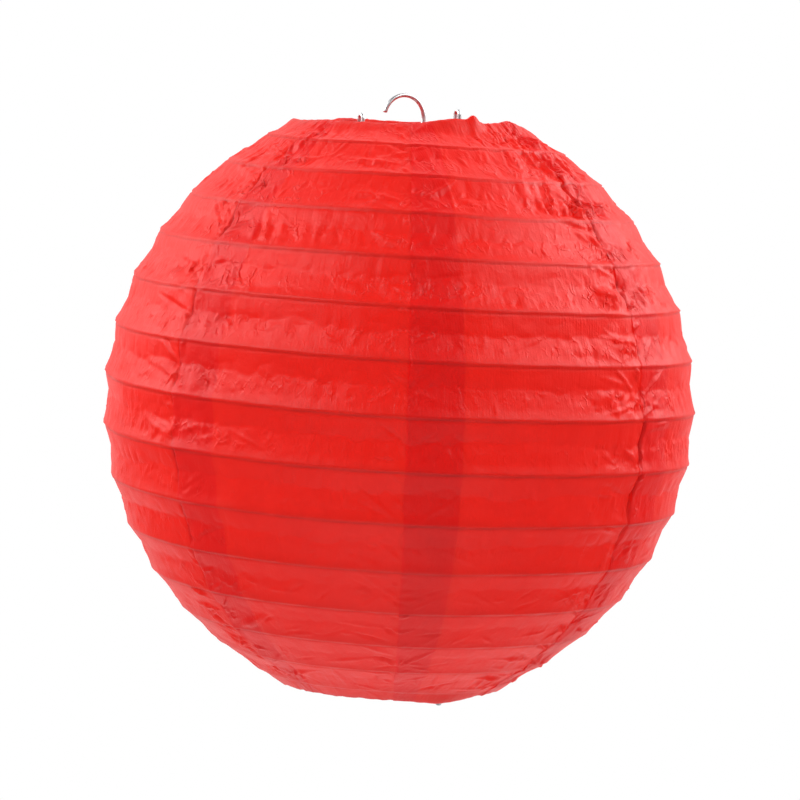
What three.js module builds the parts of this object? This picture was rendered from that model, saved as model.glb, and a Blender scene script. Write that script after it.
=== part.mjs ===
// Round red paper lantern, 300 mm across: seven paper gores glued over one spiral wire rib and
// folded round two open wire rings, held taut by a bent wire expander that hangs from a wire hook.
// Millimetres, +Z up. The origin is the hang point, inside the hook's arc on the lantern's axis,
// and X runs along the expander's top bar.
import * as THREE from "three";

// ---- Driving dimensions (heights in this block are measured from the lantern's centre) ----
const PAPER_RADIUS = 150; // outside of the paper at the equator
const HANG_HEIGHT = 155.2; // hang point above the lantern's centre

const RING_RADIUS = 57.8; // centre line of the top and bottom rings
const RING_HEIGHT = 140.4; // ring plane above and below the centre
const RING_WIRE = 1.1; // wire radius

const PAPER_THICKNESS = 0.3;
const LAYER_GAP = 0.3; // between two gores where they overlap, and between paper and wire
const GORE_COUNT = 7;
const GORE_OVERLAP = THREE.MathUtils.degToRad(11);
const FIRST_SEAM = THREE.MathUtils.degToRad(-27);
const TOP_FULLNESS = 4; // power of the swell that carries the sphere out to the top ring
const BOTTOM_FULLNESS = 8; // the same towards the bottom ring, where the paper hangs closer
const GORE_BANDS = 14; // flats of a gore from rim to rim
const GORE_COLUMNS = 4; // flats across a gore between its two laps

const RIB_WIRE = 0.7;
const RIB_PITCH = 0.1745; // rise per turn, as an arc of latitude in radians
const RIB_PHASE = 0.2087; // latitude where the rib crosses the X axis just above the equator
const RIB_END_LATITUDE = 1.144;
const RIB_STEPS_PER_TURN = 20;

const EXPANDER_WIRE = 1.0;
const BAR_DROP = 4.5; // top bar below the ring plane
const TIP_RISE = 5.7; // hairpin tips beyond the ring plane
const TALL_TIP_RISE = 9.3; // the one at the top of the +X leg, bent taller
const LEG_WAIST = 49; // half the distance between the legs at mid height

const HOOK_WIRE = 1.1;
const HOOK_RADIUS = 11.2; // centre line of the hook's arc
const HOOK_OFFSET = -2.24; // the arc's centre beside the lantern's axis, along Y
const HOOK_ARC_HEIGHT = 145.4;
const HOOK_CUT_ANGLE = THREE.MathUtils.degToRad(168.6);
const EYE_RADIUS = 2.6; // centre line of the coil that grips the expander's bar
const EYE_TURNS = 1.25;
const EYE_PITCH = 2.6;

// ---- Values that follow from them ----
const GORE_PITCH = (2 * Math.PI) / GORE_COUNT;
const GORE_ANGLE = GORE_PITCH + GORE_OVERLAP;
// Each gore drifts inwards from its first edge to its last, so that every seam is a lap joint.
const LAP_OFFSET = ((PAPER_THICKNESS + LAYER_GAP) / 2) * (GORE_ANGLE / GORE_PITCH);
const FOLD_RADIUS = RING_WIRE + LAYER_GAP + PAPER_THICKNESS / 2 + LAP_OFFSET;
const MID_RADIUS = PAPER_RADIUS - PAPER_THICKNESS / 2 - LAP_OFFSET;

const wireSteel = new THREE.MeshStandardMaterial({ color: 0xb8bbc0, roughness: 0.35, metalness: 1 });
const ringSteel = new THREE.MeshStandardMaterial({ color: 0xa9acb1, roughness: 0.4, metalness: 1 });
const redPaper = new THREE.MeshStandardMaterial({ color: 0xd6281c, roughness: 0.75, metalness: 0 });

// ---- Wires ----

// A solid wire with flat cut ends, or a closed loop, swept along points. The section keeps one
// side turned towards the reference direction.
function sweepWire(points, reference, radius, sides, closed = false) {
  const count = points.length;
  const positions = [];
  const triangles = [];
  points.forEach((point, i) => {
    const before = points[closed ? (i + count - 1) % count : Math.max(i - 1, 0)];
    const after = points[closed ? (i + 1) % count : Math.min(i + 1, count - 1)];
    const tangent = after.clone().sub(before).normalize();
    const normal = reference.clone().addScaledVector(tangent, -reference.dot(tangent)).normalize();
    const binormal = tangent.clone().cross(normal);
    for (let side = 0; side < sides; side++) {
      const angle = (2 * Math.PI * side) / sides;
      const corner = point.clone();
      corner.addScaledVector(normal, radius * Math.cos(angle));
      corner.addScaledVector(binormal, radius * Math.sin(angle));
      positions.push(...corner.toArray());
    }
  });
  const spans = closed ? count : count - 1;
  for (let i = 0; i < spans; i++) {
    for (let side = 0; side < sides; side++) {
      const a = i * sides + side;
      const b = i * sides + ((side + 1) % sides);
      const next = (((i + 1) % count) - i) * sides;
      triangles.push(a, b, b + next, a, b + next, a + next);
    }
  }
  if (!closed) {
    const last = (count - 1) * sides;
    for (let side = 1; side < sides - 1; side++) {
      triangles.push(0, side + 1, side);
      triangles.push(last, last + side, last + side + 1);
    }
  }
  return closedGeometry(positions, triangles);
}

function closedGeometry(positions, triangles) {
  const geometry = new THREE.BufferGeometry();
  geometry.setAttribute("position", new THREE.Float32BufferAttribute(positions, 3));
  geometry.setIndex(triangles);
  geometry.computeVertexNormals();
  return geometry;
}

// Rounds each inner corner of a flat path with its own bend radius, as a wire is bent.
function bendWire(corners) {
  const points = [new THREE.Vector2(corners[0].x, corners[0].z)];
  for (let i = 1; i < corners.length - 1; i++) {
    const corner = new THREE.Vector2(corners[i].x, corners[i].z);
    const back = new THREE.Vector2(corners[i - 1].x, corners[i - 1].z).sub(corner).normalize();
    const ahead = new THREE.Vector2(corners[i + 1].x, corners[i + 1].z).sub(corner).normalize();
    const halfOpening = Math.acos(back.dot(ahead)) / 2;
    const reach = corners[i].bend / Math.tan(halfOpening);
    const centre = corner.clone();
    centre.addScaledVector(back.clone().add(ahead).normalize(), corners[i].bend / Math.sin(halfOpening));
    const from = corner.clone().addScaledVector(back, reach).sub(centre);
    const turn = Math.PI - 2 * halfOpening;
    const sense = Math.sign(-back.cross(ahead));
    const steps = Math.max(2, Math.round(turn / (Math.PI / 6)));
    for (let step = 0; step <= steps; step++) {
      const spun = from.clone().rotateAround(new THREE.Vector2(), (sense * turn * step) / steps);
      points.push(spun.add(centre));
    }
  }
  const end = corners[corners.length - 1];
  points.push(new THREE.Vector2(end.x, end.z));
  return mergeClose(points).map((p) => new THREE.Vector3(p.x, 0, p.y));
}

function mergeClose(points) {
  return points.filter((point, i) => i === 0 || point.distanceTo(points[i - 1]) > 1e-3);
}

function ringGeometry() {
  const segments = 48;
  const points = [];
  for (let i = 0; i < segments; i++) {
    const angle = (2 * Math.PI * i) / segments;
    points.push(new THREE.Vector3(RING_RADIUS * Math.cos(angle), RING_RADIUS * Math.sin(angle), 0));
  }
  return sweepWire(points, new THREE.Vector3(0, 0, 1), RING_WIRE, 6, true);
}

// One end of the expander at one ring, from the waist of the leg outwards. The leg steps out into
// a shoulder that bears on the ring, comes back inside it, and turns in a hairpin past the rim.
function ringCatch(tipRise) {
  const inside = RING_RADIUS - 3.9;
  const shoulder = RING_RADIUS + 0.9;
  const bearing = RING_HEIGHT - 2.8;
  const hairpin = inside - 4;
  return [
    { x: LEG_WAIST, z: 0, bend: 400 },
    { x: inside - 1.6, z: bearing - 3, bend: 2 },
    { x: shoulder, z: bearing - 3, bend: 1.5 },
    { x: shoulder, z: bearing, bend: 1.5 },
    { x: inside, z: bearing, bend: 1.5 },
    { x: inside, z: RING_HEIGHT + tipRise, bend: 2 },
    { x: hairpin, z: RING_HEIGHT + tipRise, bend: 2 },
  ];
}

// Half of the expander on the +X side, from the cut end at the bottom ring up to the top bar.
function expanderSide(topTipRise) {
  const upper = ringCatch(topTipRise);
  const lower = ringCatch(TIP_RISE).slice(1).map((c) => ({ ...c, z: -c.z })).reverse();
  const hairpin = upper[upper.length - 1].x;
  return [
    { x: hairpin, z: -RING_HEIGHT + 10 },
    ...lower,
    ...upper,
    { x: hairpin, z: RING_HEIGHT - BAR_DROP, bend: 2 },
  ];
}

function expanderGeometry() {
  const right = expanderSide(TALL_TIP_RISE);
  const left = expanderSide(TIP_RISE).map((c) => ({ ...c, x: -c.x })).reverse();
  const path = bendWire([...right, ...left]);
  return sweepWire(path, new THREE.Vector3(0, 1, 0), EXPANDER_WIRE, 6);
}

// The hook's arc comes down beside the axis and runs straight onto a coil wound round the bar.
function hookGeometry() {
  const arcCentre = new THREE.Vector2(HOOK_OFFSET, HOOK_ARC_HEIGHT);
  const eyeCentre = new THREE.Vector2(0, RING_HEIGHT - BAR_DROP);
  const between = eyeCentre.clone().sub(arcCentre);
  const tangency = Math.acos((HOOK_RADIUS - EYE_RADIUS) / between.length());
  const leaveAngle = Math.atan2(between.y, between.x) + tangency;
  const points = [];
  const arcSteps = 16;
  for (let i = 0; i <= arcSteps; i++) {
    const angle = THREE.MathUtils.lerp(HOOK_CUT_ANGLE, leaveAngle, i / arcSteps);
    points.push(new THREE.Vector3(0, HOOK_RADIUS * Math.cos(angle), HOOK_RADIUS * Math.sin(angle)));
    points[i].add(new THREE.Vector3(0, arcCentre.x, arcCentre.y));
  }
  const eyeSteps = 15;
  for (let i = 0; i <= eyeSteps; i++) {
    const turned = (EYE_TURNS * i) / eyeSteps;
    const angle = leaveAngle - 2 * Math.PI * turned;
    const y = eyeCentre.x + EYE_RADIUS * Math.cos(angle);
    const z = eyeCentre.y + EYE_RADIUS * Math.sin(angle);
    points.push(new THREE.Vector3(-EYE_PITCH * turned, y, z));
  }
  return sweepWire(points, new THREE.Vector3(1, 0, 0), HOOK_WIRE, 8);
}

// ---- The paper ball's outline ----

// Where the paper's outline, measured square to it, meets the fold round a ring.
const FOLD_START = THREE.MathUtils.degToRad(63);
const RIM = new THREE.Vector2(
  RING_RADIUS + FOLD_RADIUS * Math.cos(FOLD_START),
  RING_HEIGHT + FOLD_RADIUS * Math.sin(FOLD_START),
);
const RIM_LATITUDE = Math.atan2(RIM.y, RIM.x);
const RIM_SWELL = RIM.length() / MID_RADIUS - 1;

// Distance of the paper from the lantern's centre at a latitude.
function paperDistance(latitude) {
  const power = latitude > 0 ? TOP_FULLNESS : BOTTOM_FULLNESS;
  return MID_RADIUS * (1 + RIM_SWELL * Math.pow(Math.abs(latitude) / RIM_LATITUDE, power));
}

function outlinePoint(latitude) {
  const distance = paperDistance(latitude);
  return new THREE.Vector2(distance * Math.cos(latitude), distance * Math.sin(latitude));
}

function outlineNormal(latitude) {
  const step = 1e-3;
  const along = outlinePoint(latitude + step).sub(outlinePoint(latitude - step)).normalize();
  return new THREE.Vector2(along.y, -along.x);
}

// Stations of one gore from the free edge inside the bottom ring, over the ball, to the free edge
// inside the top ring: each is a point of the outline and its outward normal.
function goreStations() {
  const foldSteps = 3;
  const stations = [];
  for (let i = 0; i <= GORE_BANDS; i++) {
    const latitude = RIM_LATITUDE * ((2 * i) / GORE_BANDS - 1);
    stations.push({ point: outlinePoint(latitude), normal: outlineNormal(latitude) });
  }
  for (const end of [1, -1]) {
    const fold = [];
    for (let i = 1; i <= foldSteps; i++) {
      const angle = THREE.MathUtils.lerp(FOLD_START, Math.PI, i / foldSteps);
      const normal = new THREE.Vector2(Math.cos(angle), end * Math.sin(angle));
      const point = new THREE.Vector2(RING_RADIUS, end * RING_HEIGHT);
      fold.push({ point: point.addScaledVector(normal, FOLD_RADIUS), normal });
    }
    if (end > 0) stations.push(...fold);
    else stations.unshift(...fold.reverse());
  }
  return stations;
}

// ---- Paper and rib ----

// A gore's columns stand at the same angles as its neighbours' where they overlap.
function goreColumns() {
  const columns = [0];
  for (let i = 0; i <= GORE_COLUMNS; i++) {
    columns.push(THREE.MathUtils.lerp(GORE_OVERLAP, GORE_PITCH, i / GORE_COLUMNS));
  }
  return [...columns, GORE_ANGLE];
}

function goreGeometry() {
  const stations = goreStations();
  const columns = goreColumns();
  const rows = stations.length;
  const layer = rows * columns.length;
  const positions = [];
  const triangles = [];
  for (const side of [1, -1]) {
    for (const column of columns) {
      const lap = LAP_OFFSET * (1 - (2 * column) / GORE_ANGLE);
      for (const { point, normal } of stations) {
        const spot = point.clone().addScaledVector(normal, lap + (side * PAPER_THICKNESS) / 2);
        positions.push(spot.x * Math.cos(column), spot.x * Math.sin(column), spot.y);
      }
    }
  }
  const quad = (a, b, c, d) => triangles.push(a, b, c, a, c, d);
  for (let i = 0; i < columns.length - 1; i++) {
    for (let j = 0; j < rows - 1; j++) {
      const a = i * rows + j;
      quad(a, a + rows, a + rows + 1, a + 1);
      quad(layer + a, layer + a + 1, layer + a + rows + 1, layer + a + rows);
    }
  }
  for (let j = 0; j < rows - 1; j++) {
    const far = (columns.length - 1) * rows + j;
    quad(j, j + 1, layer + j + 1, layer + j);
    quad(far, layer + far, layer + far + 1, far + 1);
  }
  for (let i = 0; i < columns.length - 1; i++) {
    const low = i * rows;
    const high = low + rows - 1;
    quad(low, layer + low, layer + low + rows, low + rows);
    quad(high, high + rows, layer + high + rows, layer + high);
  }
  return closedGeometry(positions, triangles);
}

// The rib winds down once per pitch, turning left to right across each view of the ball, just
// inside the flats of the faceted paper.
function ribGeometry() {
  const halfColumn = (GORE_PITCH - GORE_OVERLAP) / GORE_COLUMNS / 2;
  const halfBand = RIM_LATITUDE / GORE_BANDS;
  const flatDepth = PAPER_RADIUS * (2 - Math.cos(halfColumn) - Math.cos(halfBand));
  const inset = LAP_OFFSET + PAPER_THICKNESS / 2 + LAYER_GAP + flatDepth + RIB_WIRE;
  const turns = (2 * RIB_END_LATITUDE) / RIB_PITCH;
  const steps = Math.round(turns * RIB_STEPS_PER_TURN);
  const points = [];
  for (let i = 0; i <= steps; i++) {
    const latitude = THREE.MathUtils.lerp(RIB_END_LATITUDE, -RIB_END_LATITUDE, i / steps);
    const angle = (2 * Math.PI * (RIB_PHASE - latitude)) / RIB_PITCH;
    const spot = outlinePoint(latitude).addScaledVector(outlineNormal(latitude), -inset);
    points.push(new THREE.Vector3(spot.x * Math.cos(angle), spot.x * Math.sin(angle), spot.y));
  }
  return sweepWire(points, new THREE.Vector3(0, 0, 1), RIB_WIRE, 4);
}

// ---- Assembly ----

function part(name, geometry, material) {
  const mesh = new THREE.Mesh(geometry, material);
  mesh.name = name;
  return mesh;
}

function shade() {
  const group = new THREE.Group();
  const gore = goreGeometry();
  for (let i = 0; i < GORE_COUNT; i++) {
    const mesh = part(`gore_${i + 1}`, gore, redPaper);
    mesh.rotation.z = FIRST_SEAM + i * GORE_PITCH;
    group.add(mesh);
  }
  group.add(part("spiral_rib", ribGeometry(), ringSteel));
  const ring = ringGeometry();
  for (const [name, side] of [["top_ring", 1], ["bottom_ring", -1]]) {
    const mesh = part(name, ring, ringSteel);
    mesh.position.z = side * RING_HEIGHT;
    group.add(mesh);
  }
  return group;
}

function hanger() {
  const group = new THREE.Group();
  group.add(part("expander_frame", expanderGeometry(), wireSteel));
  group.add(part("hanging_hook", hookGeometry(), wireSteel));
  return group;
}

const lantern = new THREE.Group();
const centred = new THREE.Group();
centred.position.z = -HANG_HEIGHT;
centred.add(shade(), hanger());
lantern.add(centred);

export default lantern;
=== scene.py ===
"""Round red paper lantern in a white studio. Lengths are in metres unless a name ends in _mm."""

import math

import bpy
import numpy as np
from mathutils import Matrix, Vector


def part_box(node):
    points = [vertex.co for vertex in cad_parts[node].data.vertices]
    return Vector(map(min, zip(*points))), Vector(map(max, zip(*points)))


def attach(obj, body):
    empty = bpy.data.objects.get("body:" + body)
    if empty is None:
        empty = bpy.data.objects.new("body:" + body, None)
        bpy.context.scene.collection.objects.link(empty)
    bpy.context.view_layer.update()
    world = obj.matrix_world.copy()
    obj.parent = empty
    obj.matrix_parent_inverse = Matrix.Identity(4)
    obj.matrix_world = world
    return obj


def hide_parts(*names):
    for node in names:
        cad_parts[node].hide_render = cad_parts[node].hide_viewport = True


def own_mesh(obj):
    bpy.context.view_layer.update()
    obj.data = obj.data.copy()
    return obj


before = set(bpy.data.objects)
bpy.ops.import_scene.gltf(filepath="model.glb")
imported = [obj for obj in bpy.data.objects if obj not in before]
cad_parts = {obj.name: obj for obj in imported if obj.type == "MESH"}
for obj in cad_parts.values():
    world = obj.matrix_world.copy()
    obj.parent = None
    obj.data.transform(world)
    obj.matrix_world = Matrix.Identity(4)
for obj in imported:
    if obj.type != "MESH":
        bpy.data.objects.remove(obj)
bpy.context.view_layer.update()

MM = 0.001
rng = np.random.default_rng(20)


# ---- Sizes taken from the frame ----

def middle(node):
    low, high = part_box(node)
    return (low + high) / 2


top_ring_low, top_ring_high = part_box("top_ring")
TOP_RING_Z = middle("top_ring").z
BOTTOM_RING_Z = middle("bottom_ring").z
CENTRE = Vector((0, 0, (TOP_RING_Z + BOTTOM_RING_Z) / 2))
RING_HEIGHT = (TOP_RING_Z - BOTTOM_RING_Z) / 2
RING_WIRE = (top_ring_high.z - top_ring_low.z) / 2
RING_RADIUS = top_ring_high.x - RING_WIRE
gore_points = np.array([v.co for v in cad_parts["gore_1"].data.vertices])
PAPER_RADIUS = float(np.hypot(gore_points[:, 0], gore_points[:, 1]).max())
EXPANDER_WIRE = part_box("expander_frame")[1].y
TALL_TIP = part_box("expander_frame")[1].z - CENTRE.z - EXPANDER_WIRE
SHORT_TIP = CENTRE.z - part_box("expander_frame")[0].z - EXPANDER_WIRE
HOOK_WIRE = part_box("hanging_hook")[1].x

# ---- The lantern's design. Angles and latitudes are in radians ----

GORE_COUNT = 7
GORE_PITCH = 2 * math.pi / GORE_COUNT
GORE_OVERLAP = math.radians(10.4)
FIRST_SEAM = math.radians(-27)
SEAM_OFFSETS_DEG = (0.7, -0.1, 0.9, -0.7, 1.2, -0.5, 3.6)
RIB_PITCH = 0.1745  # latitude between two turns of the rib
RIB_PHASE = 0.2087  # latitude at which the rib crosses angle 0, but for its wander
RIB_END_LATITUDE = 1.144
RIB_RADIUS = 0.55 * MM
RIB_CLEARANCE = 0.55 * MM
LAYER_STEP = 0.24 * MM
TOP_FULLNESS = 4
BOTTOM_FULLNESS = 8
FOLD_START = math.radians(63)
FOLD_END = math.radians(190)
FOLD_ROWS = 8
FOLD_RADIUS = RING_WIRE + 0.45 * MM
BAR_DROP = 4.5 * MM

PAPER_GRID = 0.82 * MM


def seam_angle(gore):
    """Angle of a gore's outer glued edge, a little off its even place as laid by hand."""
    laid = math.radians(SEAM_OFFSETS_DEG[gore % GORE_COUNT])
    return FIRST_SEAM + gore * GORE_PITCH + laid


# ---- Camera: level with the top rim, long lens ----

CAMERA_AZIMUTH = math.radians(62)
CAMERA_ELEVATION = math.radians(4.9)
CAMERA_ROLL = math.radians(1.8)
CAMERA_DISTANCE = 11.6 * PAPER_RADIUS
CAMERA_RISE = 1.9 * MM
CAMERA_SIDESTEP = 0.5 * MM
FRAME_WIDTH = 407.5 * MM


def make_camera():
    """Returns the level direction to the camera and the camera's right, which place the lights."""
    data = bpy.data.cameras.new("camera")
    camera = bpy.data.objects.new("camera", data)
    bpy.context.scene.collection.objects.link(camera)
    flat = Vector((math.sin(CAMERA_AZIMUTH), -math.cos(CAMERA_AZIMUTH), 0))
    back = flat * math.cos(CAMERA_ELEVATION) + Vector((0, 0, math.sin(CAMERA_ELEVATION)))
    upright = back.to_track_quat("Z", "Y").to_matrix()
    up = upright @ Vector((-math.sin(CAMERA_ROLL), math.cos(CAMERA_ROLL), 0))
    side = up.cross(back)
    camera.rotation_euler = Matrix((side, up, back)).transposed().to_euler()
    camera.location = CENTRE + back * CAMERA_DISTANCE
    camera.location += up * CAMERA_RISE + side * CAMERA_SIDESTEP
    data.sensor_width = 36
    data.lens = data.sensor_width * CAMERA_DISTANCE / FRAME_WIDTH
    data.clip_end = 50
    bpy.context.scene.camera = camera
    return flat, side


camera_flat, camera_side = make_camera()


# ---- Noise and shapes ----

def lattice(ix, iy, iz, seed):
    mixed = (ix * 73856093) ^ (iy * 19349663) ^ (iz * 83492791) ^ (seed * 2654435761)
    mixed &= 0xFFFFFFFF
    mixed = ((mixed ^ (mixed >> 15)) * 2246822519) & 0xFFFFFFFF
    mixed = ((mixed ^ (mixed >> 13)) * 3266489917) & 0xFFFFFFFF
    return (mixed ^ (mixed >> 16)) / 2147483648.0 - 1.0


def noise(points, size, seed):
    """Smooth noise from -1 to 1 at points in space, with features of that size."""
    scaled = points / size + 100.0
    cell = np.floor(scaled).astype(np.int64)
    part = scaled - cell
    ease = part * part * part * (part * (part * 6 - 15) + 10)
    total = np.zeros(points.shape[:-1])
    for dx in (0, 1):
        for dy in (0, 1):
            for dz in (0, 1):
                weight = np.abs(1 - dx - ease[..., 0]) * np.abs(1 - dy - ease[..., 1])
                weight = weight * np.abs(1 - dz - ease[..., 2])
                total += weight * lattice(
                    cell[..., 0] + dx, cell[..., 1] + dy, cell[..., 2] + dz, seed
                )
    return total


def smoothstep(low, high, value):
    t = np.clip((value - low) / (high - low), 0, 1)
    return t * t * (3 - 2 * t)


def wrapped(angle):
    return (angle + math.pi) % (2 * math.pi) - math.pi


def bell(distance, width):
    """1 in the middle, falling away smoothly on both sides."""
    return np.exp(-((distance / width) ** 2))


def round_axis(angle, radius, height):
    """Points at angles round the Z axis."""
    parts = np.broadcast_arrays(radius * np.cos(angle), radius * np.sin(angle), height)
    return np.stack(parts, axis=-1)


# ---- The paper ball's outline ----

RIM_X = RING_RADIUS + FOLD_RADIUS * math.cos(FOLD_START)
RIM_Z = RING_HEIGHT + FOLD_RADIUS * math.sin(FOLD_START)
RIM_LATITUDE = math.atan2(RIM_Z, RIM_X)
RIM_SWELL = math.hypot(RIM_X, RIM_Z) / PAPER_RADIUS - 1


def outline(latitude):
    """Distance from the axis and height above the centre of the paper at a latitude."""
    power = np.where(latitude > 0, TOP_FULLNESS, BOTTOM_FULLNESS)
    swell = RIM_SWELL * np.power(np.abs(latitude) / RIM_LATITUDE, power)
    distance = PAPER_RADIUS * (1 + swell)
    return distance * np.cos(latitude), distance * np.sin(latitude)


def outline_normal(latitude):
    step = 1e-3
    ahead, behind = outline(latitude + step), outline(latitude - step)
    along_r, along_z = ahead[0] - behind[0], ahead[1] - behind[1]
    length = np.hypot(along_r, along_z)
    return along_z / length, -along_r / length


# ---- Relief of the paper, the same for both layers of a lap ----

BALL_MM = PAPER_RADIUS / MM
BAND_MM = RIB_PITCH * BALL_MM
SLACK_LATITUDE = -0.45  # below it the short creases run nearly level
SEAM_PUCKER = (0.2, 1.0, 0.7, 0.4, 0.9, 0.6, 0.8)  # how badly each gore's edge is puckered
CRUSHED_ANGLE = 0.42
SHORT_CREASES = 170  # tried in each band
LONG_CREASES = 9  # in each band
RIM_GATHERS = 150  # at each rim
TUCK_SPACING = 0.022  # latitude between tucks along a glued edge


def unrolled(angle, latitude):
    """Places on a cylinder round the ball, in millimetres, where meridians stay parallel."""
    return round_axis(angle, BALL_MM, BALL_MM * latitude)


def rib_phase(angle, latitude):
    """Turns wound before this spot: whole numbers lie on the rib, closer together at the ends."""
    wander = 0.03 * noise(unrolled(angle, latitude), 60, 1) - 0.2 * latitude ** 3
    return (RIB_PHASE - latitude) / RIB_PITCH - angle / (2 * math.pi) + wander


def on_band(band, angle, down):
    """Latitude of the spot that lies that share of the way down from a turn of the rib."""
    return RIB_PHASE - RIB_PITCH * (band + angle / (2 * math.pi) + down)


def short_creases(band):
    """Crumples between two turns of the rib, in patches, faint in the upper part of the band."""
    creases = []
    for _ in range(SHORT_CREASES):
        angle = rng.uniform(-math.pi, math.pi)
        down = rng.beta(3.6, 2.4)
        latitude = on_band(band, angle, down)
        if abs(latitude) > RIM_LATITUDE - 0.02 or rng.uniform() > math.cos(latitude):
            continue
        patch = 0.5 + 0.5 * math.sin(3 * angle + band * 2.1) * math.sin(5 * angle - band)
        if rng.uniform() > 0.35 + 0.75 * patch:
            continue
        calm = 0.3 if down < 0.44 else 1.0
        length = rng.uniform(2.5, 7.0)
        slant = rng.normal(0, 0.5) if rng.uniform() < 0.7 else rng.uniform(-1.5, 1.5)
        flanks = rng.uniform(0.6, 2.2, 2)
        height = calm * rng.choice([-1, 1, 1]) * rng.uniform(0.2, 0.8)
        if latitude < SLACK_LATITUDE:
            slant = rng.normal(1.4, 0.3)
            length *= 1.8
            height *= 0.95
        bend = rng.normal(0, 0.4)
        creases.append((angle, latitude, slant, length, *flanks, height, bend))
    return creases


def long_creases(band):
    """A few long creases in the lower part of a band, nearly along it."""
    creases = []
    for _ in range(LONG_CREASES):
        angle = rng.uniform(-math.pi, math.pi)
        latitude = on_band(band, angle, rng.uniform(0.45, 0.85))
        slant = rng.choice([-1, 1]) * rng.uniform(0.9, 1.45)
        flanks = rng.uniform(0.9, 3.0, 2)
        length = rng.uniform(8, 18)
        height = rng.uniform(0.3, 0.7)
        creases.append((angle, latitude, slant, length, *flanks, height, 0.6))
    return creases


def band_creases():
    """Each crease is a fold line with its angle, latitude, slant from the meridian, half length,
    widths of its two flanks, height and bend. The last five but the slant are in millimetres."""
    creases = []
    bands = round(2 * RIM_LATITUDE / RIB_PITCH) + 2
    for band in range(-bands // 2, bands // 2 + 3):
        creases += short_creases(band)
        creases += long_creases(band)
    return creases


def seam_creases():
    """Thin tucks that fan out from the glued edges of the gores."""
    creases = []
    for gore in range(GORE_COUNT):
        for root in np.arange(-RIM_LATITUDE, RIM_LATITUDE, TUCK_SPACING):
            side = rng.choice([-1, -1, 1])
            reach = rng.uniform(2.5, 6.0) if rng.uniform() < 0.55 else rng.uniform(7.0, 19.0)
            slant = side * min(1.45, rng.uniform(0.5, 1.2) + reach / 50)
            out_mm = side * reach * abs(math.sin(slant))
            angle = seam_angle(gore) + out_mm / (BALL_MM * math.cos(root))
            latitude = root + rng.choice([-1, 1]) * reach * math.cos(slant) / BALL_MM
            flanks = rng.uniform(0.5, 1.7, 2) * (1 + reach / 12)
            height = rng.choice([-1, 1, 1]) * rng.uniform(0.35, 1.1)
            bend = rng.normal(0, 0.4)
            creases.append((angle, latitude, slant, reach, *flanks, height, bend))
    return creases


def rim_creases():
    """Gathers that run out from the rings, where the gores are drawn in."""
    creases = []
    for end in (1, -1):
        for _ in range(RIM_GATHERS):
            angle = rng.uniform(-math.pi, math.pi)
            latitude = end * (RIM_LATITUDE - rng.uniform(0.0, 0.2))
            slant = rng.normal(0, 0.3)
            flanks = rng.uniform(0.9, 2.6, 2)
            height = rng.choice([-1, 1]) * rng.uniform(0.15, 0.5)
            length = rng.uniform(4, 13)
            creases.append((angle, latitude, slant, length, *flanks, height, 0.3))
    return creases


def add_creases(relief, angle, latitude):
    """Adds every crease near this gore to its relief, in millimetres."""
    columns, rows = angle[:, 0], latitude[0]
    for middle_angle, level, slant, half_length, left, right, height, bend in CREASES:
        width_mm = BALL_MM * math.cos(level)
        reach_mm = half_length + max(left, right)
        reach = reach_mm / width_mm
        span = reach_mm / BALL_MM
        j0, j1 = np.searchsorted(rows, (level - span, level + span))
        for turn in (-2 * math.pi, 0, 2 * math.pi):
            at = middle_angle + turn
            if at + reach < columns[0] or at - reach > columns[-1]:
                continue
            i0, i1 = np.searchsorted(columns, (at - reach, at + reach))
            x = (angle[i0:i1, j0:j1] - at) * width_mm
            y = (latitude[i0:i1, j0:j1] - level) * BALL_MM
            along = (y * math.cos(slant) + x * math.sin(slant)) / half_length
            across = x * math.cos(slant) - y * math.sin(slant) + bend * (along ** 2 - 0.5)
            fall = np.where(across < 0, -across / left, across / right)
            relief[i0:i1, j0:j1] += height * np.clip(1 - np.abs(along) - fall, 0, None)


def bend_profile(down, valley, depth):
    """Height across a band: steeply in from the rib, out again, and flaring up to the next rib."""
    flare = valley + (1 - valley) * 0.66
    falls = down / valley
    climbs = 1 - 0.5 * (down - valley) / (flare - valley)
    flares = 0.5 * (1 - down) / (1 - flare)
    return -depth * np.minimum(np.minimum(falls, climbs), flares)


def banding(points_mm, turns):
    """The fold of the paper in from each turn of the rib, with a lip that hangs over the rib."""
    jagged = np.abs(noise(points_mm, 8, 5)) - 0.25
    valley = 0.44 + 0.05 * noise(points_mm, 30, 2) + 0.16 * jagged
    depth = 2.4 + 0.5 * noise(points_mm, 45, 3)
    depth *= 1 - 0.5 * smoothstep(70, 130, np.abs(points_mm[..., 2]))
    depth *= 1 - 0.4 * smoothstep(40, 110, -points_mm[..., 2])
    total = 0
    for shift_mm in (-0.4, 0, 0.4):
        place = turns + shift_mm / BAND_MM
        total = total + bend_profile(place - np.floor(place), valley, depth)
    below_mm = (turns - np.floor(turns)) * BAND_MM
    above_mm = BAND_MM - below_mm
    lip = np.maximum(np.exp(-below_mm / 0.45), np.exp(-above_mm / 3.0))
    tuck = bell(below_mm - 0.9, 0.5)
    return total / 3 + 0.5 * lip - 0.35 * tuck


def warped(points_mm, size, amount, seed):
    """The same places pushed about by noise, so that straight patterns run unevenly."""
    push = np.stack([noise(points_mm, size, seed + k) for k in (1, 2, 3)], axis=-1)
    return points_mm + amount * push


def pleats(points_mm, latitude):
    """Fine pleats along the meridians, round the middle of the ball."""
    stretched = warped(points_mm, 9, 1.6, 50) * np.array([1, 1, 0.16])
    line = np.exp(-np.abs(noise(stretched, 3.8, 54)) / 0.22)
    patches = smoothstep(-0.2, 0.6, noise(points_mm, 22, 55))
    return 0.16 * line * patches * np.cos(latitude) ** 3


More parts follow.
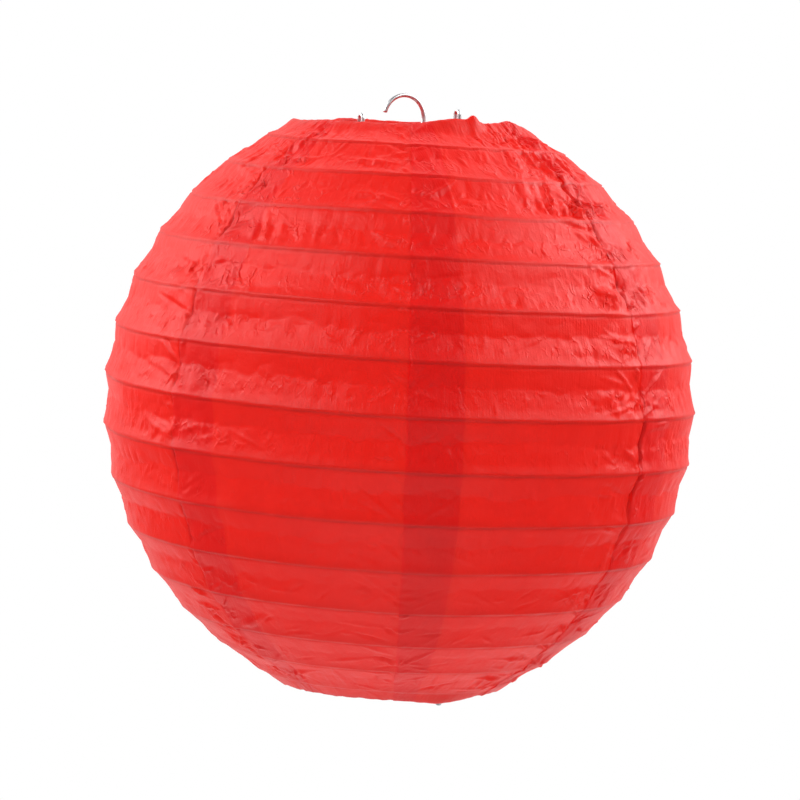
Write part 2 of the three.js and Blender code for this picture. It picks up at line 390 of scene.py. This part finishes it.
def folds(points_mm, size, seed):
    """Long sharp folds that wander, spaced by about that size: 1 on a fold, falling evenly away."""
    return 1 - 2 * np.abs(noise(warped(points_mm, size * 0.6, size * 0.2, seed), size, seed + 4))


def crumple(points_mm):
    """Crushed paper: folds of two sizes, some in and some out, in patches."""
    tall = points_mm * np.array([1, 1, 0.6])
    broad = folds(tall, 12, 41) * np.tanh(4 * noise(points_mm, 16, 47))
    fine = folds(tall, 6, 71) * np.tanh(4 * noise(points_mm, 9, 77))
    patchy = smoothstep(-0.4, 0.3, noise(points_mm, 24, 40))
    return (0.9 * broad + 0.4 * fine) * (0.2 + 0.8 * patchy)


def crushed_top(points_mm, angle, latitude):
    """Large folds at the top, beside one arm of the expander, and soft ones round the rest."""
    crushed = bell(wrapped(angle - CRUSHED_ANGLE), 0.42)
    high = smoothstep(0.62, 0.95, latitude)
    return folds(points_mm * np.array([1.4, 1.4, 0.5]), 15, 91) * (0.08 + 1.3 * crushed) * high


def seam_crack(points_mm, angle, latitude):
    """A thin jagged fold along each glued edge, where the paste drew the paper in: 1 in it."""
    along = 1.5 * noise(points_mm, 9, 61) + 0.8 * noise(points_mm, 3, 62)
    shown = smoothstep(-0.3, 0.3, noise(points_mm, 13, 63)) * smoothstep(-0.9, -0.1, latitude)
    crack = np.zeros(angle.shape)
    for gore in range(GORE_COUNT):
        off_mm = wrapped(angle - seam_angle(gore)) * np.cos(latitude) * BALL_MM
        crack = np.maximum(crack, SEAM_PUCKER[gore] * np.exp(-np.abs(off_mm - along) / 0.6))
    return crack * shown


def seam_pull(angle):
    """How badly the paper is crumpled: worst beside the seams that are puckered most."""
    pull = 0.25
    for gore in range(GORE_COUNT):
        off = wrapped(angle - seam_angle(gore))
        pull = pull + 1.25 * SEAM_PUCKER[gore] * bell(off, 0.30)
    return pull


def looseness(points_mm, angle, latitude, down):
    """How slack the paper is: most in the lower part of each band and beside puckered seams."""
    least = 0.15 + 0.4 * smoothstep(0.3, 0.8, latitude)
    loose = least + (1 - least) * smoothstep(0.36, 0.50, down + 0.05 * noise(points_mm, 5, 6))
    return loose * (0.45 + 1.25 * smoothstep(-0.35, 0.6, latitude)) * seam_pull(angle)


def wrinkling(points_mm, angle, latitude, loose, crack):
    """Creases, crumples, cracks and pleats, in millimetres."""
    wrinkles = np.zeros(angle.shape)
    add_creases(wrinkles, angle, latitude)
    strength = 0.7 + 0.6 * smoothstep(-0.35, 0.45, latitude) + 0.6 * smoothstep(0.4, 0.7, -latitude)
    wrinkles *= strength * (0.5 + 0.55 * seam_pull(angle))
    wrinkles += crumple(points_mm) * loose + crushed_top(points_mm, angle, latitude)
    wrinkles -= 1.8 * crack
    return wrinkles + pleats(points_mm, latitude)


def paper_relief(points_mm, angle, latitude):
    """Height of one gore over the ball through the ribs, in millimetres, where its paper is loose,
    and how much painted shade darkens it: in the seam cracks and in a thin line under each rib."""
    turns = rib_phase(angle, latitude)
    down = turns - np.floor(turns)
    below_mm = down * BAND_MM
    above_mm = BAND_MM - below_mm
    off_rim = smoothstep(0.0, 0.10, RIM_LATITUDE - np.abs(latitude))
    off_rib = smoothstep(0.2, 2.0, below_mm) * (0.18 + 0.82 * smoothstep(1.0, 6.0, above_mm))
    loose = looseness(points_mm, angle, latitude, down)
    crack = seam_crack(points_mm, angle, latitude)
    relief = (banding(points_mm, turns) + 0.3 * noise(points_mm, 70, 4)) * off_rim
    wrinkles = wrinkling(points_mm, angle, latitude, loose, crack)
    relief += wrinkles * (0.1 + 0.9 * off_rib) * (0.4 + 0.6 * off_rim)
    # painted shade: a mask that darkens the paper's colour in the seam cracks and in a thin line just
    # under each rib
    painted_crease_shade = np.maximum(crack * off_rib, 0.4 * bell(below_mm - 0.8, 0.5) * off_rim)
    return relief, loose * off_rib, painted_crease_shade


CREASES = band_creases() + seam_creases() + rim_creases()


# ---- Meshes ----

def mesh_object(name, vertices, faces):
    mesh = bpy.data.meshes.new(name)
    mesh.vertices.add(len(vertices))
    mesh.vertices.foreach_set("co", np.asarray(vertices, np.float32).ravel())
    faces = np.asarray(faces, np.int32)
    mesh.loops.add(faces.size)
    mesh.loops.foreach_set("vertex_index", faces.ravel())
    mesh.polygons.add(len(faces))
    mesh.polygons.foreach_set("loop_start", np.arange(0, faces.size, faces.shape[1], dtype=np.int32))
    mesh.polygons.foreach_set("use_smooth", np.ones(len(faces), bool))
    mesh.update(calc_edges=True)
    mesh.validate()
    piece = bpy.data.objects.new(name, mesh)
    bpy.context.scene.collection.objects.link(piece)
    return piece


def grid_faces(columns, rows):
    i, j = np.meshgrid(np.arange(columns - 1), np.arange(rows - 1), indexing="ij")
    corner = (i * rows + j).ravel()
    return np.stack([corner, corner + rows, corner + rows + 1, corner + 1], axis=1)


# ---- Paper gores ----

LIFT_REACH = 9 * MM
RIM_LIFTS = (
    # an arm of the expander or a crumple holds the paper off its ring: angle, width, height in
    # millimetres at the top and at the bottom
    (-0.08, 0.24, 3.2, 1.92),
    (0.10, 0.05, 3.2, 0),
    (0.52, 0.24, 2.4, 0),
    (math.pi, 0.25, 1.4, 0),
)


def rim_lift(angle, end):
    """How far the folded rim stands off its ring along the axis, in millimetres."""
    round_rim = round_axis(angle, 60, 300.0 * end)
    lift = 0.7 + 0.4 * noise(round_rim, 16, 21) + 0.3 * noise(round_rim, 5, 22)
    for at, width, top_height, bottom_height in RIM_LIFTS:
        height = top_height if end > 0 else bottom_height
        lift = lift + height * bell(wrapped(angle - at), width)
    return np.maximum(lift, 0)


def ball_surface(start, columns):
    """The paper over the ball: its outline points (r, z), their normals (nr, nz), the height over
    them in millimetres (h), angles (a), where it is loose, and how much painted shade darkens it."""
    arc = 2 * RIM_LATITUDE * PAPER_RADIUS
    latitudes = np.linspace(-RIM_LATITUDE, RIM_LATITUDE, int(arc / PAPER_GRID))
    angle, latitude = np.meshgrid(start + columns, latitudes, indexing="ij")
    points_mm = unrolled(angle, latitude)
    radius, height = outline(latitude)
    out_r, out_z = outline_normal(latitude)
    relief, loose, painted_crease_shade = paper_relief(points_mm, angle, latitude)
    edge_mm = (angle - start) * radius / MM
    curl = 0.05 + 1.3 * np.clip(noise(points_mm, 7, 31) - 0.15, 0, 1)
    relief += curl * np.exp(-edge_mm / 1.8)
    ragged = 0.9 * noise(points_mm, 11, 32) + 0.5 * noise(points_mm, 3.5, 33)
    angle = angle + ragged * np.clip(1 - edge_mm / 12, 0, 1) * MM / radius
    return {
        "r": radius,
        "z": height,
        "nr": out_r,
        "nz": out_z,
        "h": relief,
        "a": angle,
        "loose": loose,
        "painted_crease_shade": painted_crease_shade,
    }


def fold_surface(start, columns, end):
    """The paper folded round the ring at one end, in the same terms as over the ball."""
    fold = np.linspace(FOLD_START, FOLD_END, FOLD_ROWS + 1)[1:]
    angle, turn = np.meshgrid(start + columns, fold, indexing="ij")
    rows = {
        "r": RING_RADIUS + FOLD_RADIUS * np.cos(turn),
        "z": end * (RING_HEIGHT + FOLD_RADIUS * np.sin(turn)),
        "nr": np.cos(turn),
        "nz": end * np.sin(turn),
        "h": 0.12 * noise(round_axis(angle, 70, 9 * turn), 3, 23),
        "a": angle,
        "loose": np.full(turn.shape, 0.6),
        "painted_crease_shade": np.zeros(turn.shape),
    }
    return {key: value[:, ::end] for key, value in rows.items()}


def gore_surface(start, width):
    """A gore from angle start, width wide, from the bottom fold to the top one."""
    columns = np.linspace(0, width, int(width * PAPER_RADIUS / PAPER_GRID))
    bottom, top = fold_surface(start, columns, -1), fold_surface(start, columns, 1)
    parts = (bottom, ball_surface(start, columns), top)
    surface = {key: np.concatenate([part[key] for part in parts], axis=1) for key in top}
    surface["columns"] = columns
    return surface


def lift_rim(surface, z):
    """Raises the fold and the paper next to it where the rim stands off the ring."""
    reach = int(LIFT_REACH / PAPER_GRID)
    rows = np.arange(z.shape[1])
    from_top = rows - (len(rows) - FOLD_ROWS - reach)
    from_bottom = FOLD_ROWS + reach - rows
    for end, steps in ((1, from_top), (-1, from_bottom)):
        near = steps > 0
        share = smoothstep(0, reach, steps[near])
        inside = np.maximum(0, steps[near] - reach) / FOLD_ROWS
        share = share * (1 - 0.55 * smoothstep(0.55, 1, inside))
        z[:, near] += end * share * rim_lift(surface["a"][:, near], end) * MM


def gore(index):
    """One gore: a sheet of paper, its first edge on top of the gore before it."""
    start = seam_angle(index)
    to_next = (seam_angle(index + 1) - start) % (2 * math.pi)
    surface = gore_surface(start, to_next + GORE_OVERLAP)
    lap = LAYER_STEP * (0.5 - surface["columns"] / to_next)
    off = surface["h"] * MM + lap[:, None]
    radius = surface["r"] + surface["nr"] * off
    z = surface["z"] + surface["nz"] * off
    lift_rim(surface, z)
    vertices = round_axis(surface["a"], radius, z + CENTRE.z).reshape(-1, 3)
    piece = mesh_object(f"paper_gore_{index + 1}", vertices, grid_faces(*radius.shape))
    paint_gore(piece, surface, to_next)
    return piece


def paint_gore(piece, surface, to_next):
    """Stores at each vertex where the paper is doubled or loose, its painted shade, and its flat place.
    """
    along = surface["columns"][:, None] + 0 * surface["r"]
    doubled = (along < GORE_OVERLAP) | (along > to_next)
    layers = (("doubled", doubled), ("loose", surface["loose"]), ("painted_crease_shade", surface["painted_crease_shade"]))
    for name, values in layers:
        layer = piece.data.attributes.new(name, "FLOAT", "POINT")
        layer.data.foreach_set("value", values.ravel().astype(np.float32))
    across = (along - along.max() / 2) * surface["r"]
    length = np.arange(surface["r"].shape[1]) * PAPER_GRID + 0 * across
    flat = np.stack([across, length], axis=-1).reshape(-1, 2)
    loops = np.zeros(len(piece.data.loops), np.int32)
    piece.data.loops.foreach_get("vertex_index", loops)
    layer = piece.data.uv_layers.new(name="sheet")
    layer.data.foreach_set("uv", flat[loops].astype(np.float32).ravel())


# ---- Wires ----

WELD_ANGLE = 2.2
WELD_LENGTH = 1.5 * MM
WELD_SWELL = 0.22
WIRE_STEP = 6 * MM
BEND_STEP = math.radians(9)
LEAST_GAP = 0.01 * MM
RIB_STEPS_PER_TURN = 110

def tube(name, points, radius, sides=14, closed=False, reference=(0, 0, 1)):
    """A round wire along points. radius is a number or one value per point; open ends are
    slightly rounded over."""
    points = np.asarray(points, float)
    radii = np.broadcast_to(np.asarray(radius, float), (len(points),)).copy()
    if closed:
        tangents = np.roll(points, -1, axis=0) - np.roll(points, 1, axis=0)
    else:
        points, radii = blunt_ends(points, radii)
        tangents = np.gradient(points, axis=0)
    tangents /= np.linalg.norm(tangents, axis=1)[:, None]
    reference = np.asarray(reference, float)
    normals = reference - tangents * (tangents @ reference)[:, None]
    normals /= np.linalg.norm(normals, axis=1)[:, None]
    binormals = np.cross(tangents, normals)
    turn = np.arange(sides) * 2 * math.pi / sides
    ring = normals[:, None, :] * np.cos(turn)[None, :, None]
    ring = ring + binormals[:, None, :] * np.sin(turn)[None, :, None]
    vertices = (points[:, None, :] + ring * radii[:, None, None]).reshape(-1, 3)
    count = len(points)
    spans = count if closed else count - 1
    faces = []
    for i in range(spans):
        for side in range(sides):
            a, b = i * sides + side, i * sides + (side + 1) % sides
            ahead = ((i + 1) % count - i) * sides
            faces.append((a, b, b + ahead, a + ahead))
    mesh = bpy.data.meshes.new(name)
    if not closed:
        faces.append(tuple(reversed(range(sides))))
        faces.append(tuple(range((count - 1) * sides, count * sides)))
    mesh.from_pydata(vertices.tolist(), [], faces)
    mesh.shade_smooth()
    piece = bpy.data.objects.new(name, mesh)
    bpy.context.scene.collection.objects.link(piece)
    return piece


def blunt_ends(points, radii):
    """Adds a narrowing ring at each cut end of a wire."""
    shoulders = []
    for end, inner in ((0, 1), (-1, -2)):
        inward = points[inner] - points[end]
        shoulders.append(points[end] + inward / np.linalg.norm(inward) * radii[end] * 0.3)
    points = np.vstack([points[:1], shoulders[0], points[1:-1], shoulders[1], points[-1:]])
    radii = np.concatenate([[radii[0] * 0.72], radii, [radii[-1] * 0.72]])
    return points, radii


def bend_wire(corners):
    """Rounds each inner corner (x, z, bend radius) of a flat path, as a wire is bent."""
    points = [Vector(corners[0][:2])]
    for before, corner, after in zip(corners, corners[1:], corners[2:], strict=False):
        at = Vector(corner[:2])
        back = (Vector(before[:2]) - at).normalized()
        ahead = (Vector(after[:2]) - at).normalized()
        half_opening = math.acos(max(-1, min(1, back.dot(ahead)))) / 2
        bend = corner[2]
        centre = at + (back + ahead).normalized() * bend / math.sin(half_opening)
        arm = at + back * bend / math.tan(half_opening) - centre
        turn = math.pi - 2 * half_opening
        sense = 1 if back.x * ahead.y - back.y * ahead.x < 0 else -1
        steps = max(3, round(turn / BEND_STEP))
        for i in range(steps + 1):
            spin = sense * turn * i / steps
            c, s = math.cos(spin), math.sin(spin)
            points.append(centre + Vector((arm.x * c - arm.y * s, arm.x * s + arm.y * c)))
    points.append(Vector(corners[-1][:2]))
    apart = [points[0]]
    for point in points[1:]:
        gap = (point - apart[-1]).length
        if gap < LEAST_GAP:
            continue
        pieces = max(1, round(gap / WIRE_STEP))
        start = apart[-1]
        apart.extend(start.lerp(point, k / pieces) for k in range(1, pieces + 1))
    return [(p.x, 0, p.y + CENTRE.z) for p in apart]


def ring(name, z):
    """A wire ring with the bead of its butt weld."""
    turn = np.arange(180) * 2 * math.pi / 180
    from_weld = np.abs(wrapped(turn - WELD_ANGLE)) * RING_RADIUS
    radius = RING_WIRE * (1 + WELD_SWELL * bell(from_weld, WELD_LENGTH))
    return tube(name, round_axis(turn, RING_RADIUS, z), radius, closed=True)


def expander_side(top_tip):
    """The +X half of the expander: cut end, lower hairpin, leg, upper hairpin and half the bar."""
    inside = RING_RADIUS - 3.9 * MM
    hairpin = inside - 4 * MM
    shoulder = RING_RADIUS + 0.9 * MM
    bearing = RING_HEIGHT - 2.8 * MM
    under = bearing - 3 * MM
    leg = inside - 1.6 * MM
    waist = 49 * MM
    sharp, round_bend, sweep = 1.5 * MM, 2 * MM, 400 * MM

    def catch(tip):
        """The corners that hold one ring, from the leg to the far side of the hairpin."""
        return [
            (leg, under, round_bend),
            (shoulder, under, sharp),
            (shoulder, bearing, sharp),
            (inside, bearing, sharp),
            (inside, tip, round_bend),
            (hairpin, tip, round_bend),
        ]

    lower = [(x, -z, bend) for x, z, bend in reversed(catch(SHORT_TIP))]
    cut_end = (hairpin, -RING_HEIGHT + 10 * MM, 0)
    to_bar = (hairpin, RING_HEIGHT - BAR_DROP, round_bend)
    return [cut_end, *lower, (waist, 0, sweep), *catch(top_tip), to_bar]


def expander():
    """Both halves in one bent wire, the same path as in the CAD source."""
    right = expander_side(TALL_TIP)
    left = [(-x, z, bend) for x, z, bend in reversed(expander_side(SHORT_TIP))]
    return tube("expander", bend_wire(right + left), EXPANDER_WIRE, reference=(0, 1, 0))


def hook():
    """The open arc, and the coil that it ends in round the expander's bar."""
    arc_radius = 11.2 * MM
    arc_y, arc_z = -2.24 * MM, CENTRE.z + 145.4 * MM
    cut_end = math.radians(168.6)
    eye_radius, eye_turns, eye_pitch = 2.6 * MM, 1.25, 2.6 * MM
    eye_z = TOP_RING_Z - BAR_DROP
    between = Vector((-arc_y, eye_z - arc_z))
    leave = math.atan2(between.y, between.x)
    leave += math.acos((arc_radius - eye_radius) / between.length)
    points = []
    for angle in np.linspace(cut_end, leave, 48):
        points.append((0, arc_y + arc_radius * math.cos(angle), arc_z + arc_radius * math.sin(angle)))
    for turned in np.linspace(0, eye_turns, 44):
        angle = leave - 2 * math.pi * turned
        y, z = eye_radius * math.cos(angle), eye_z + eye_radius * math.sin(angle)
        points.append((-eye_pitch * turned, y, z))
    return tube("hook", points, HOOK_WIRE, reference=(1, 0, 0))


def rib():
    """The spiral rib, close behind the crests of the paper."""
    turns = 2 * RIB_END_LATITUDE / RIB_PITCH
    steps = int(turns * RIB_STEPS_PER_TURN)
    latitude = np.linspace(RIB_END_LATITUDE, -RIB_END_LATITUDE, steps)
    angle = 2 * math.pi * (RIB_PHASE - latitude) / RIB_PITCH
    for _ in range(3):
        # each pass brings the angles nearer to where rib_phase is 0
        angle = angle + 2 * math.pi * rib_phase(angle, latitude)
    radius, height = outline(latitude)
    out_r, out_z = outline_normal(latitude)
    inset = RIB_RADIUS + LAYER_STEP + RIB_CLEARANCE
    points = round_axis(angle, radius - out_r * inset, height - out_z * inset + CENTRE.z)
    return tube("rib", points, RIB_RADIUS, sides=8)


# ---- Materials ----

class Nodes:
    """A material's node tree, with short calls to add and link nodes."""

    def __init__(self, name):
        self.material = bpy.data.materials.new(name)
        self.material.use_nodes = True
        self.tree = self.material.node_tree
        self.tree.nodes.clear()

    def add(self, kind, inputs=None, **settings):
        node = self.tree.nodes.new(kind)
        for key, value in settings.items():
            setattr(node, key, value)
        for key, value in (inputs or {}).items():
            if isinstance(value, bpy.types.NodeSocket):
                self.tree.links.new(value, node.inputs[key])
            else:
                node.inputs[key].default_value = value
        return node

    def noise(self, vector, scale, detail, roughness):
        inputs = {"Vector": vector, "Scale": scale, "Detail": detail, "Roughness": roughness}
        return self.add("ShaderNodeTexNoise", inputs).outputs["Fac"]

    def mapping(self, vector, scale):
        return self.add("ShaderNodeMapping", {"Vector": vector, "Scale": scale}).outputs["Vector"]

    def math(self, operation, a, b):
        return self.add("ShaderNodeMath", {0: a, 1: b}, operation=operation).outputs[0]

    def ramp(self, value, low, high, to_low=0.0, to_high=1.0):
        inputs = {"Value": value, "From Min": low, "From Max": high, "To Min": to_low, "To Max": to_high}
        return self.add("ShaderNodeMapRange", inputs).outputs["Result"]

    def mix(self, factor, a, b):
        node = self.add("ShaderNodeMix", data_type="RGBA")
        for socket, value in (("Factor_Float", factor), ("A_Color", a), ("B_Color", b)):
            target = next(s for s in node.inputs if s.identifier == socket)
            if isinstance(value, bpy.types.NodeSocket):
                self.tree.links.new(value, target)
            else:
                target.default_value = value
        return next(s for s in node.outputs if s.identifier == "Result_Color")

    def bump(self, height, strength, distance, normal=None):
        inputs = {"Height": height, "Strength": strength, "Distance": distance}
        if normal is not None:
            inputs["Normal"] = normal
        return self.add("ShaderNodeBump", inputs).outputs["Normal"]

    def finish(self, shader):
        self.add("ShaderNodeOutputMaterial", {"Surface": shader})
        return self.material


def paper_material():
    """Thin dyed tissue: sharp small creases, fine crinkle, faint laid lines, deeper in colour
    where two layers lie together, and painted shade in the seam cracks and under each rib."""
    n = Nodes("red_tissue_paper")
    place = n.add("ShaderNodeTexCoord").outputs["Object"]
    sheet = n.add("ShaderNodeUVMap", uv_map="sheet").outputs["UV"]
    doubled = n.add("ShaderNodeAttribute", attribute_name="doubled").outputs["Fac"]
    loose = n.add("ShaderNodeAttribute", attribute_name="loose").outputs["Fac"]
    # painted shade in the seam cracks and under each rib
    painted_crease_shade = n.add("ShaderNodeAttribute", attribute_name="painted_crease_shade").outputs["Fac"]
    blotch = n.noise(place, 55, 4, 0.6)
    fibre = n.noise(n.mapping(sheet, (2600, 260, 1)), 1.0, 3, 0.6)
    thin = n.mix(n.ramp(blotch, 0.3, 0.7), (0.84, 0.013, 0.004, 1), (0.89, 0.017, 0.006, 1))
    thick = n.mix(n.ramp(blotch, 0.3, 0.7), (0.84, 0.005, 0.002, 1), (0.89, 0.007, 0.003, 1))
    colour = n.mix(doubled, thin, thick)
    colour = n.mix(n.ramp(fibre, 0.35, 0.75, 0.0, 0.16), colour, (0.93, 0.02, 0.012, 1))
    # painted shade: darkens the colour to deep red in the seam cracks and in a thin line under each rib
    colour = n.mix(n.math("MULTIPLY", painted_crease_shade, 0.55), colour, (0.34, 0.004, 0.003, 1))

    laid = n.noise(n.mapping(sheet, (1100, 60, 1)), 1.0, 2, 0.5)
    normal = n.bump(laid, 0.4, 0.0003)
    crinkle = n.noise(place, 650, 5, 0.65)
    normal = n.bump(crinkle, 0.36, 0.0004, normal)
    for scale, depth in ((120, 0.0005), (260, 0.0003)):
        normal = n.bump(small_creases(n, sheet, scale, loose), 1.0, depth, normal)
    rough = n.ramp(n.noise(place, 160, 3, 0.6), 0.3, 0.7, 0.37, 0.50)
    surface = n.add("ShaderNodeBsdfPrincipled", {
        "Base Color": colour,
        "Roughness": rough,
        "Specular IOR Level": 0.47,
        "Normal": normal,
    })
    through = n.add("ShaderNodeBsdfTranslucent", {"Color": colour, "Normal": normal})
    both = n.add("ShaderNodeMixShader", {0: 0.46, 1: surface.outputs[0], 2: through.outputs[0]})
    return n.finish(both.outputs[0])


def small_creases(n, sheet, scale, loose):
    """Height of a net of fine creases on the sheet that fades in and out, less where it is taut."""
    wander = n.add("ShaderNodeTexNoise", {"Vector": sheet, "Scale": scale * 1.3, "Detail": 2.0})
    by = {0: wander.outputs["Color"], "Scale": 0.9 / scale}
    pushed = n.add("ShaderNodeVectorMath", by, operation="SCALE").outputs[0]
    moved = n.add("ShaderNodeVectorMath", {0: sheet, 1: pushed}, operation="ADD").outputs[0]
    tall = n.mapping(moved, (1, 0.6, 1))
    cells = n.add("ShaderNodeTexVoronoi", {"Vector": tall, "Scale": float(scale)},
                  feature="DISTANCE_TO_EDGE", voronoi_dimensions="2D")
    ridge = n.ramp(cells.outputs["Distance"], 0.0, 0.16, 1.0, 0.0)
    shown = n.ramp(n.noise(sheet, scale * 0.55, 2, 0.5), 0.5, 0.66)
    return n.math("MULTIPLY", n.math("MULTIPLY", ridge, shown), loose)


def steel_material(name, colour, roughness, mark_scale):
    """Drawn wire: bright metal with faint marks and duller patches."""
    n = Nodes(name)
    place = n.add("ShaderNodeTexCoord").outputs["Object"]
    patch = n.noise(place, 240, 4, 0.6)
    tint = n.mix(n.ramp(patch, 0.35, 0.7), colour, tuple(c * 0.78 for c in colour[:3]) + (1,))
    rough = n.ramp(n.noise(place, 700, 3, 0.5), 0.3, 0.7, roughness - 0.06, roughness + 0.1)
    normal = n.bump(n.noise(place, mark_scale, 2, 0.5), 0.05, 0.0001)
    surface = n.add("ShaderNodeBsdfPrincipled", {
        "Base Color": tint,
        "Metallic": 1.0,
        "Roughness": rough,
        "Normal": normal,
    })
    return n.finish(surface.outputs[0])


# ---- Build ----

def dress(piece, material, slot, body, *nodes):
    piece.data.materials.append(material)
    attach(piece, body)
    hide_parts(*nodes)
    return piece


def fold_flat(piece):
    """Gives the piece a mesh of its own."""
    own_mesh(piece)


def build_lantern():
    bright = steel_material("bright_wire", (0.68, 0.68, 0.69, 1), 0.34, 900)
    zinc = steel_material("galvanised_wire", (0.50, 0.51, 0.53, 1), 0.34, 600)
    dress(hook(), bright, "expander_wire", "hook", "hanging_hook")
    dress(expander(), bright, "expander_wire", "expander", "expander_frame")
    dress(ring("upper_ring", TOP_RING_Z), zinc, "ring_wire", "shade", "top_ring")
    dress(ring("lower_ring", BOTTOM_RING_Z), zinc, "ring_wire", "lower_ring", "bottom_ring")
    fold_flat(dress(rib(), zinc, "rib_wire", "shade", "spiral_rib"))
    paper = paper_material()
    for index in range(GORE_COUNT):
        piece = gore(index)
        dress(piece, paper, "red_paper", "shade", f"gore_{index + 1}")
        fold_flat(piece)


# ---- Studio ----

FLOOR_DROP = 3.6
FLOOR_RADIUS = 12
FLOOR_SIDES = 96
FLOOR_GLOW = 0.45
SOFTBOX_DISTANCE = 2.4
ROOM_LIGHT = 0.2
SOFTBOXES = (
    # name, azimuth to the camera's right and elevation in degrees, diameter, radiance
    ("left_key", -50, 38, 1.6, 4.4),
    ("right_key", 58, 36, 1.6, 4.2),
    ("left_side", -102, 28, 2.0, 4.5),
    ("right_side", 112, 30, 2.0, 5.8),
    ("left_rim", -145, 15, 2.4, 1.0),
    ("right_rim", 145, 15, 2.4, 0.8),
    ("back_top", 180, 50, 2.0, 1.7),
    ("back_low", 180, -40, 4.2, 1.25),
    ("front_low", 0, -55, 3.0, 0.5),
)


def make_floor():
    """A pale, faintly glowing floor that lights the lantern from below. The paper's sheen doesn't
    mirror it."""
    turn = np.arange(FLOOR_SIDES) * 2 * math.pi / FLOOR_SIDES
    floor = mesh_object("floor", round_axis(turn, FLOOR_RADIUS, -FLOOR_DROP), [range(FLOOR_SIDES)])
    floor.visible_glossy = False
    n = Nodes("pale_floor")
    surface = n.add("ShaderNodeBsdfPrincipled", {
        "Base Color": (0.85, 0.85, 0.85, 1),
        "Roughness": 0.9,
        "Specular IOR Level": 0.1,
        "Emission Color": (1, 1, 1, 1),
        "Emission Strength": FLOOR_GLOW,
    })
    floor.data.materials.append(n.finish(surface.outputs[0]))


def softbox(name, azimuth, elevation, size, radiance):
    """A round soft light aimed at the lantern, at an azimuth counted from the camera's."""
    data = bpy.data.lights.new(name, "AREA")
    data.shape = "DISK"
    data.size = size
    area = math.pi * size ** 2 / 4
    data.energy = radiance * math.pi * area
    light = bpy.data.objects.new(name, data)
    bpy.context.scene.collection.objects.link(light)
    turned, raised = math.radians(azimuth), math.radians(elevation)
    level = camera_flat * math.cos(turned) + camera_side * math.sin(turned)
    away = level * math.cos(raised) + Vector((0, 0, math.sin(raised)))
    light.location = CENTRE + away * SOFTBOX_DISTANCE
    light.rotation_euler = away.to_track_quat("Z", "Y").to_euler()
    light.visible_camera = False


def make_world():
    """A dim even room. The camera sees it as plain white."""
    world = bpy.data.worlds.new("studio")
    world.use_nodes = True
    tree = world.node_tree
    path = tree.nodes.new("ShaderNodeLightPath")
    tone = tree.nodes.new("ShaderNodeMapRange")
    tone.inputs["To Min"].default_value = ROOM_LIGHT
    tone.inputs["To Max"].default_value = 1.0
    tree.links.new(path.outputs["Is Camera Ray"], tone.inputs["Value"])
    tree.links.new(tone.outputs["Result"], tree.nodes["Background"].inputs["Strength"])
    tree.nodes["Background"].inputs["Color"].default_value = (1, 1, 1, 1)
    bpy.context.scene.world = world


def make_studio():
    make_floor()
    make_world()
    for name, azimuth, elevation, size, radiance in SOFTBOXES:
        softbox(name, azimuth, elevation, size, radiance)
    bpy.context.scene.view_settings.view_transform = "Standard"


build_lantern()
make_studio()
